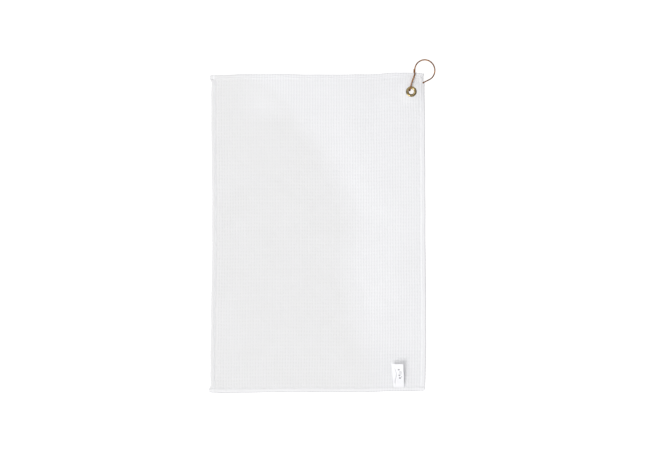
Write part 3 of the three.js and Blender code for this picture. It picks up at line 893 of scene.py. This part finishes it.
def cut_hole(cloth):
    """Cuts the grommet's hole through the cloth."""
    bpy.ops.mesh.primitive_cylinder_add(
        vertices=64, radius=CLOTH_HOLE_RADIUS, depth=40 * MM, location=(GROMMET_X, GROMMET_Y, 0)
    )
    cutter = bpy.context.object
    cutter.data.materials.append(cloth.data.materials[0])
    hole = cloth.modifiers.new("grommet_hole", "BOOLEAN")
    hole.operation, hole.object, hole.solver = "DIFFERENCE", cutter, "EXACT"
    evaluated = cloth.evaluated_get(bpy.context.evaluated_depsgraph_get())
    cut = bpy.data.meshes.new_from_object(evaluated)
    cloth.modifiers.clear()
    cloth.data = cut
    bpy.data.objects.remove(cutter)
    cut.polygons.foreach_set("use_smooth", np.ones(len(cut.polygons), bool))


def make_cloth():
    vertices, faces, flat = cloth_mesh()
    cloth = new_object("waffle_cloth", vertices, faces, cloth_material(), flat)
    cut_hole(cloth)
    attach(cloth, "towel")
    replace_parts(cloth, "towel_cloth")
    return cloth


# -------- seams

STEPS_PER_STITCH = 8
SEAM_SHORT_OF_EDGE = 1.1 * MM  # where the end hems' seams stop
STITCH_SLANT = 0.09 * MM
NEEDLE_LOW, NEEDLE_HIGH = 2.14 * MM, 2.5 * MM  # middle of the thread, over the cloth's underside
BOBBIN_LOW, BOBBIN_HIGH = 0.27 * MM, 0.62 * MM
THREAD_SIDES = 8


def seam_line(side, length):
    """Flat coordinates along a seam, with the phase of the stitch at each place."""
    count = round(length / STITCH) * STEPS_PER_STITCH + 1
    along = np.linspace(-length / 2, length / 2, count)
    phase = (np.arange(count) % STEPS_PER_STITCH) / STEPS_PER_STITCH
    slant = STITCH_SLANT * (phase - 0.5)
    way = 1 if side in ("top", "right") else -1
    if side in ("top", "bottom"):
        return along, way * (HALF_LENGTH - SEAM_FROM_EDGE) + slant, phase
    return way * (HALF_WIDTH - SEAM_FROM_EDGE) + slant, along, phase


def make_seams():
    material = thread_material()
    end_length = 2 * (HALF_WIDTH - SEAM_SHORT_OF_EDGE)
    side_length = 2 * (INNER_Y + 0.4 * MM)
    lengths = {"top": end_length, "bottom": end_length, "left": side_length, "right": side_length}
    made = []
    for side, length in lengths.items():
        u, v, phase = seam_line(side, length)
        x, y = laid(u, v)
        out_of_hole = np.sin(math.pi * phase) ** 0.7
        along = u if side in ("top", "bottom") else v
        uneven = PUCKER_HEIGHT * pucker(along, PUCKER_PHASE[side])
        needle = NEEDLE_LOW + (NEEDLE_HIGH - NEEDLE_LOW) * out_of_hole + uneven
        bobbin = BOBBIN_HIGH - (BOBBIN_HIGH - BOBBIN_LOW) * out_of_hole
        for thread, height in (("needle_thread", needle), ("bobbin_thread", bobbin)):
            path = np.stack([x, y, ground(x, y) + height], -1)
            vertices, faces, uv = tube(path, np.full(len(path), THREAD_RADIUS), THREAD_SIDES)
            stitches = new_object(f"{thread}_{side}_stitches", vertices, faces, material, uv)
            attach(stitches, "towel")
            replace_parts(stitches, f"{thread}_{side}")
            made.append(stitches)
    return made


# -------- grommet

TURN_SEGMENTS = 112
ARC_STEPS = 14


def arc(centre, radii, from_degrees, to_degrees, steps=ARC_STEPS):
    angle = np.radians(np.linspace(from_degrees, to_degrees, steps + 1))
    return np.stack([centre[0] + radii[0] * np.cos(angle), centre[1] + radii[1] * np.sin(angle)], -1)


def turned(name, profile, material):
    """A ring turned about the grommet's axis from a closed profile of (radius, height)."""
    profile = np.asarray(profile)
    count = len(profile)
    angle = 2 * math.pi * np.arange(TURN_SEGMENTS) / TURN_SEGMENTS
    x = GROMMET_X + profile[None, :, 0] * np.cos(angle)[:, None]
    y = GROMMET_Y + profile[None, :, 0] * np.sin(angle)[:, None]
    z = np.broadcast_to(profile[None, :, 1], x.shape)
    vertices = np.stack([x, y, z], -1).reshape(-1, 3)
    k, i = np.mgrid[0:TURN_SEGMENTS, 0:count]
    after_k, after_i = (k + 1) % TURN_SEGMENTS, (i + 1) % count
    quads = [k * count + i, after_k * count + i, after_k * count + after_i, k * count + after_i]
    faces = np.stack([q.ravel() for q in quads], 1)
    run = np.concatenate([[0], np.cumsum(np.linalg.norm(np.diff(profile, axis=0), axis=1))])
    around = np.broadcast_to(angle[:, None] * BORE_RADIUS, x.shape)
    uv = np.stack([around, np.broadcast_to(run, x.shape)], -1).reshape(-1, 2)
    ring = new_object(name, vertices, faces, material, uv)
    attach(ring, "towel")
    return ring


def make_grommet():
    material = brass_material()
    crown = BORE_RADIUS + FLANGE_PEAK
    outward = FLANGE_RADIUS - crown
    thin = BRASS_SHEET
    roll = (BORE_RADIUS + ROLL_RADIUS, ROLL_CENTRE_Z)
    at_crown = (crown, FLANGE_BOTTOM_Z)
    lip = thin / 2
    eyelet = np.concatenate([
        arc((FLANGE_RADIUS - lip, FLANGE_BOTTOM_Z), (lip, lip), 0, 40, 3),
        arc(at_crown, (outward - 0.05 * MM, FLANGE_HEIGHT), 14, 90)[1:],
        arc(at_crown, (FLANGE_PEAK, FLANGE_HEIGHT), 90, 180)[1:],
        arc(roll, (ROLL_RADIUS, ROLL_RADIUS), 180, 360),
        arc(roll, (ROLL_RADIUS - thin, ROLL_RADIUS - thin), 360, 180),
        arc(at_crown, (FLANGE_PEAK - thin, FLANGE_HEIGHT - thin), 180, 90),
        arc(at_crown, (outward - thin, FLANGE_HEIGHT - thin), 90, 0)[1:],
    ])
    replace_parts(turned("eyelet_pressing", eyelet, material), "grommet_eyelet")
    inner = BARREL_RADIUS + FIT_GAP
    bottom, top = WASHER_LOW.z, WASHER_HIGH.z
    middle = (bottom + top) / 2
    half = BRASS_SHEET / 2
    washer = np.concatenate([
        [(inner, bottom)],
        arc((WASHER_RADIUS - half, middle), (half, half), -90, 90),
        [(WASHER_RADIUS - 1.4 * MM, top), (WASHER_RADIUS - 1.8 * MM, top - 0.12 * MM)],
        [(inner + 0.6 * MM, top - 0.12 * MM), (inner, top)],
    ])
    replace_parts(turned("washer_ring", washer, material), "grommet_washer")


# -------- hook


def hook_points():
    """The wire's route, from the eye's end back under the cloth, up through the bore, out over
    the cloth to the neck and round the ring to the tip: the CAD source's points, in metres."""
    pivot = JOINT_AT["hook_swing"]
    edge = skewed(pivot.x, HALF_LENGTH) - pivot.y
    neck_from = edge - NECK_INSIDE
    leg_length = neck_from / math.cos(HOOK_LEAN)
    neck_x = neck_from * math.tan(HOOK_LEAN)
    ring_from = neck_from + NECK_LENGTH
    ring_start_z = OVER_HEM_Z - NECK_DROP
    ring_slope = (ring_start_z - LYING_Z) / RING_HALF_LENGTH
    ring_top = ring_from + RING_HALF_LENGTH

    def along_leg(distance, sideways, z):
        x = distance * math.sin(HOOK_LEAN) - sideways * math.cos(HOOK_LEAN)
        y = distance * math.cos(HOOK_LEAN) + sideways * math.sin(HOOK_LEAN)
        return (x, y, z)

    def bow(distance):
        t = distance / leg_length
        return 4 * LEG_BOW * t * (1 - t)

    def bend(centre_z, start, end):
        points = arc((BEND_RADIUS, centre_z), (BEND_RADIUS, BEND_RADIUS), start, end, 6)
        return [along_leg(distance, 0, z) for distance, z in points]

    def ring_point(x, y):
        return (x, y, LYING_Z + ring_slope * (ring_top - y))

    eye_end_z = ring_start_z - ring_slope * EYE_OVERLAP - WIRE_DIAMETER
    pair_x = neck_x - NECK_PAIR
    back_leg = [
        (pair_x, ring_from + EYE_OVERLAP, eye_end_z),
        (pair_x, ring_from - 0.3 * NECK_PAIR, eye_end_z - 0.25 * MM),
        (pair_x, edge + 0.2 * NECK_PAIR, LYING_Z),
        (pair_x, neck_from, LYING_Z),
        along_leg(0.8 * leg_length, 0.5 * NECK_PAIR, LYING_Z),
        along_leg(0.5 * leg_length, 0, LYING_Z),
        along_leg(2.4 * BEND_RADIUS, 0, LYING_Z),
    ]
    through_bore = bend(LYING_Z + BEND_RADIUS, 270, 180) + bend(FRONT_LEG_Z - BEND_RADIUS, 180, 90)
    past_flange = FLANGE_RADIUS + WIRE_RADIUS
    half_down = (FRONT_LEG_Z + OVER_HEM_Z) / 2
    front_leg = [
        along_leg(distance, bow(distance), z)
        for distance, z in (
            (2 * BEND_RADIUS, FRONT_LEG_Z),
            (past_flange, FRONT_LEG_Z),
            (0.6 * leg_length, half_down),
            (0.86 * leg_length, OVER_HEM_Z),
        )
    ]
    neck = [(neck_x, neck_from + 0.2 * NECK_LENGTH, OVER_HEM_Z), (neck_x, edge + FIT_GAP, OVER_HEM_Z)]
    ring_steps = round(math.degrees(RING_SWEEP) / 15)
    ring = []
    for k in range(ring_steps + 1):
        angle = math.pi - RING_SWEEP * k / ring_steps
        x = neck_x + RING_HALF_WIDTH * (1 + math.cos(angle))
        ring.append(ring_point(x, ring_from + RING_HALF_LENGTH * math.sin(angle)))
    heading_x, heading_y = RING_HALF_WIDTH * math.sin(angle), -RING_HALF_LENGTH * math.cos(angle)
    heading = math.atan2(heading_y, heading_x) + TIP_FLARE
    end_x, end_y, _ = ring[-1]
    tip = [
        ring_point(end_x + run * math.cos(heading), end_y + run * math.sin(heading))
        for run in (0.5 * TIP_LENGTH, TIP_LENGTH)
    ]
    points = np.array(back_leg + through_bore + front_leg + neck + ring + tip)
    points[:, :2] += (pivot.x, pivot.y)
    return points


def smooth_curve(points, steps):
    """A centripetal Catmull-Rom curve through the points, as the CAD's."""
    before, after = 2 * points[0] - points[1], 2 * points[-1] - points[-2]
    padded = np.concatenate([[before], points, [after]])
    out = []
    for k in range(len(points) - 1):
        p0, p1, p2, p3 = padded[k : k + 4]
        d0, d1, d2 = (math.sqrt(np.linalg.norm(b - a)) for a, b in ((p0, p1), (p1, p2), (p2, p3)))
        m1 = ((p1 - p0) / d0 - (p2 - p0) / (d0 + d1) + (p2 - p1) / d1) * d1
        m2 = ((p2 - p1) / d1 - (p3 - p1) / (d1 + d2) + (p3 - p2) / d2) * d1
        t = np.arange(steps)[:, None] / steps
        cubic = 2 * p1 - 2 * p2 + m1 + m2
        square = -3 * p1 + 3 * p2 - 2 * m1 - m2
        out.append(p1 + m1 * t + square * t**2 + cubic * t**3)
    return np.concatenate([*out, [points[-1]]])


def evenly_spaced(path, step):
    lengths = np.concatenate([[0], np.cumsum(np.linalg.norm(np.diff(path, axis=0), axis=1))])
    at = np.linspace(0, lengths[-1], int(lengths[-1] / step) + 1)
    return np.stack([np.interp(at, lengths, path[:, axis]) for axis in range(3)], -1)


def make_hook():
    """The wire as one tube: a rounded cut end at the eye, and a ball at the tip."""
    path = evenly_spaced(smooth_curve(hook_points(), 24), 0.5 * MM)
    inward, outward = (step / np.linalg.norm(step) for step in (path[1] - path[0], path[-1] - path[-2]))
    cap = [(1 - math.cos(a)) * 0.4 * WIRE_RADIUS for a in np.radians([8, 30, 50, 70])]
    cap_radii = [WIRE_RADIUS * math.sin(a) for a in np.radians([8, 38, 60, 78])]
    joins = math.sqrt(TIP_BALL_RADIUS**2 - WIRE_RADIUS**2)
    ball_at = path[-1]
    travelled = np.linalg.norm(path - ball_at, axis=1)
    kept = path[travelled > joins + 0.25 * MM]
    kept = kept[np.linalg.norm(kept - path[0], axis=1) > 0.5 * WIRE_RADIUS]
    ball_steps = -np.cos(np.linspace(math.acos(joins / TIP_BALL_RADIUS), math.pi - 0.08, 13))
    ball = [ball_at + outward * TIP_BALL_RADIUS * s for s in ball_steps]
    ball_radii = [TIP_BALL_RADIUS * math.sqrt(max(1 - s * s, 0.0)) for s in ball_steps]
    route = np.concatenate([[path[0] + inward * c for c in cap], kept, ball])
    radii = np.concatenate([cap_radii, np.full(len(kept), WIRE_RADIUS), ball_radii])
    vertices, faces, uv = tube(route, radii, 24)
    hook = new_object("bent_wire_hook", vertices, faces, bronze_material(), uv)
    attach(hook, "hook")
    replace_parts(hook, "wire_hook")
    return hook


# -------- label

PLY = 0.17 * MM
LABEL_COLUMNS = 24
TUCK = 0.9 * MM  # how far the ribbon's ends run in under the hem
TUCKED_Z = CLOTH_THICKNESS + 0.1 * MM
EMERGES_BY = 0.22  # share of the label over which it climbs out from under the hem
CURL_POWER = 1.7
LABEL_TWIST = 2.8 * MM
LABEL_CUP = 0.55 * MM
CREASE_DEPTH = 0.62 * MM
CREASE_TURN = 9 * MM  # how far the part left of the crease is bent down, per width of label
PLY_SLIP = 0.9 * MM  # how far the upper ply's sewn end lies to the right of the lower's
UPPER_SHIFT = 0.15 * MM
PLY_GAP = 0.16 * MM
NOT_PRINTED = -1.0  # flat coordinate of places that are off the label's face


def label_middle(run):
    """Plan offset along y and height of the label's middle, run going from 0 to 1."""
    rise = LABEL_SEAM_Z + LABEL_CURL * max(run, 0) ** CURL_POWER + LABEL_THICKNESS / 2
    return np.array([LABEL_LENGTH * run, TUCKED_Z + (rise - TUCKED_Z) * ease(run / EMERGES_BY)])


def label_stations():
    """Places along the ribbon, from one sewn end round the fold to the other: how far along the
    label, from 0 at the hem to 1 at the fold, and the turn round the fold, from 0 to pi."""
    first = -TUCK / LABEL_LENGTH
    outwards = np.concatenate([np.linspace(first, 0.12, 12)[:-1], np.linspace(0.12, 1, 30)])
    lower = [(run, 0.0) for run in outwards]
    fold = [(1.0, math.radians(angle)) for angle in np.linspace(20, 160, 8)]
    upper = [(run, math.pi) for run in outwards[::-1]]
    return lower + fold + upper


def label_wave(free, share, upper):
    """Height of the ribbon's twist, hollow and crease across its width."""
    sway = math.cos(2 * math.pi * (free * LABEL_LENGTH - CREASE_PEAK) / CREASE_PITCH)
    crease_at = (CREASE_X + CREASE_SWAY * sway) / LABEL_WIDTH
    folded_in = ease(free * 5) * (1 - ease((free - 0.75) / 0.2))
    cup = LABEL_CUP * free * (2 * share) ** 2 * (1 if upper else 0.9)
    crease = -CREASE_DEPTH * bell((share - crease_at) / 0.045) * folded_in
    turned_down = -CREASE_TURN * free * np.maximum(crease_at - share, 0)
    return cup + LABEL_TWIST * free * share + turned_down + crease * (1 if upper else 0.4)


def make_label():
    """One ribbon folded in two, as a closed strip PLY thick."""
    apart = (LABEL_THICKNESS - PLY) / 2
    share = np.linspace(-0.5, 0.5, LABEL_COLUMNS + 1)
    outer, inner, flats = [], [], []
    for run, turn in label_stations():
        free = max(run, 0)
        on_upper = turn / math.pi
        slope = CURL_POWER * LABEL_CURL / LABEL_LENGTH * free ** (CURL_POWER - 1)
        tangent = np.array([1.0, slope]) / math.hypot(1.0, slope)
        normal = np.array([-tangent[1], tangent[0]])
        facing = math.sin(turn) * tangent - math.cos(turn) * normal
        gap = PLY_GAP * on_upper * math.sin(math.pi * free)
        centre = label_middle(run) + apart * facing + gap * normal
        width = LABEL_SEAM_WIDTH + (LABEL_WIDTH - LABEL_SEAM_WIDTH) * ease(2 * run)
        slipped = on_upper * (PLY_SLIP * (1 - free) + UPPER_SHIFT)
        x = LABEL_HINGE.x + width * share - LABEL_DRIFT * free + slipped
        wave = label_wave(free, share, on_upper >= 0.5)
        for half_ply, store in ((PLY / 2, outer), (-PLY / 2, inner)):
            y, z = centre + facing * half_ply
            store.append(np.stack([x, np.full_like(x, LABEL_HINGE.y + y), z + wave], -1))
        on_face = LABEL_LENGTH * run if on_upper >= 0.5 and run >= 0 else NOT_PRINTED
        flats.append(np.stack([width * share, np.full_like(x, on_face)], -1))
    down, across = len(outer), len(share)
    count = down * across
    vertices = np.concatenate([np.reshape(outer, (-1, 3)), np.reshape(inner, (-1, 3))])
    outer_faces = grid_faces(across, down)
    faces = [tuple(f[::-1]) for f in outer_faces] + [tuple(f + count) for f in outer_faces]
    rim = loop_of(across, down)
    for a, b in zip(rim, np.roll(rim, -1)):
        faces.append((a, b, b + count, a + count))
    flat = np.reshape(flats, (-1, 2))
    uv = np.concatenate([flat, flat + (0, 2 * NOT_PRINTED)])
    label = new_object("folded_ribbon_label", vertices, faces, satin_material(), uv)
    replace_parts(label, "care_label")
    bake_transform(label)
    return label


# -------- stage

CAMERA_HEIGHT = 2.915
CAMERA_X = 8.5 * MM
CAMERA_Y = 0.8 * MM


def make_camera():
    data = bpy.data.cameras.new("camera")
    data.lens, data.sensor_width = 85, 36
    data.clip_start, data.clip_end = 0.05, 60
    camera = bpy.data.objects.new("camera", data)
    camera.location = (CAMERA_X, CAMERA_Y, CAMERA_HEIGHT)
    bpy.context.scene.collection.objects.link(camera)
    bpy.context.scene.camera = camera


def make_floor():
    bpy.ops.mesh.primitive_plane_add(size=14, location=(0, 0, -0.25 * MM))
    floor = bpy.context.object
    floor.name = "table"
    material, shader = new_material("white_table")
    set_shader(
        shader,
        Base_Color=(0.3, 0.3, 0.3, 1),
        Roughness=0.9,
        Specular_IOR_Level=0.1,
        Emission_Color=(1, 1, 1, 1),
        Emission_Strength=0.84,
    )
    floor.data.materials.append(material)


def far_softbox(name, towards, wide, strength):
    """A large softbox so far off that it lights the whole towel evenly. wide is in degrees."""
    data = bpy.data.lights.new(name, "SUN")
    data.angle, data.energy = math.radians(wide), strength
    light = bpy.data.objects.new(name, data)
    light.location = towards
    light.rotation_euler = (-Vector(towards)).to_track_quat("-Z", "Y").to_euler()
    bpy.context.scene.collection.objects.link(light)


def make_world():
    """A studio that is pale at the horizon and darker overhead."""
    world = bpy.data.worlds.new("studio")
    world.use_nodes = True
    up = Output(add(world.node_tree, "TexCoord").outputs["Generated"]).split()[2]
    colour = up.remap(0.05, 0.85, 1.0, 0.0).colour((0.35, 0.35, 0.36, 1), (0.95, 0.95, 0.96, 1))
    background = world.node_tree.nodes["Background"]
    set_input(background.inputs["Color"], colour)
    background.inputs["Strength"].default_value = 1.14
    bpy.context.scene.world = world


def make_lights():
    far_softbox("key", (-4.7, -5.3, 6.8), 32, 1.36)
    far_softbox("fill", (-4.4, 4.2, 6.3), 44, 0.64)


view = bpy.context.scene.view_settings
view.view_transform = "Standard"
view.look = "None"

make_camera()
make_floor()
make_world()
make_lights()
cloth = make_cloth()
seams = make_seams()
make_grommet()
make_hook()
label = make_label()
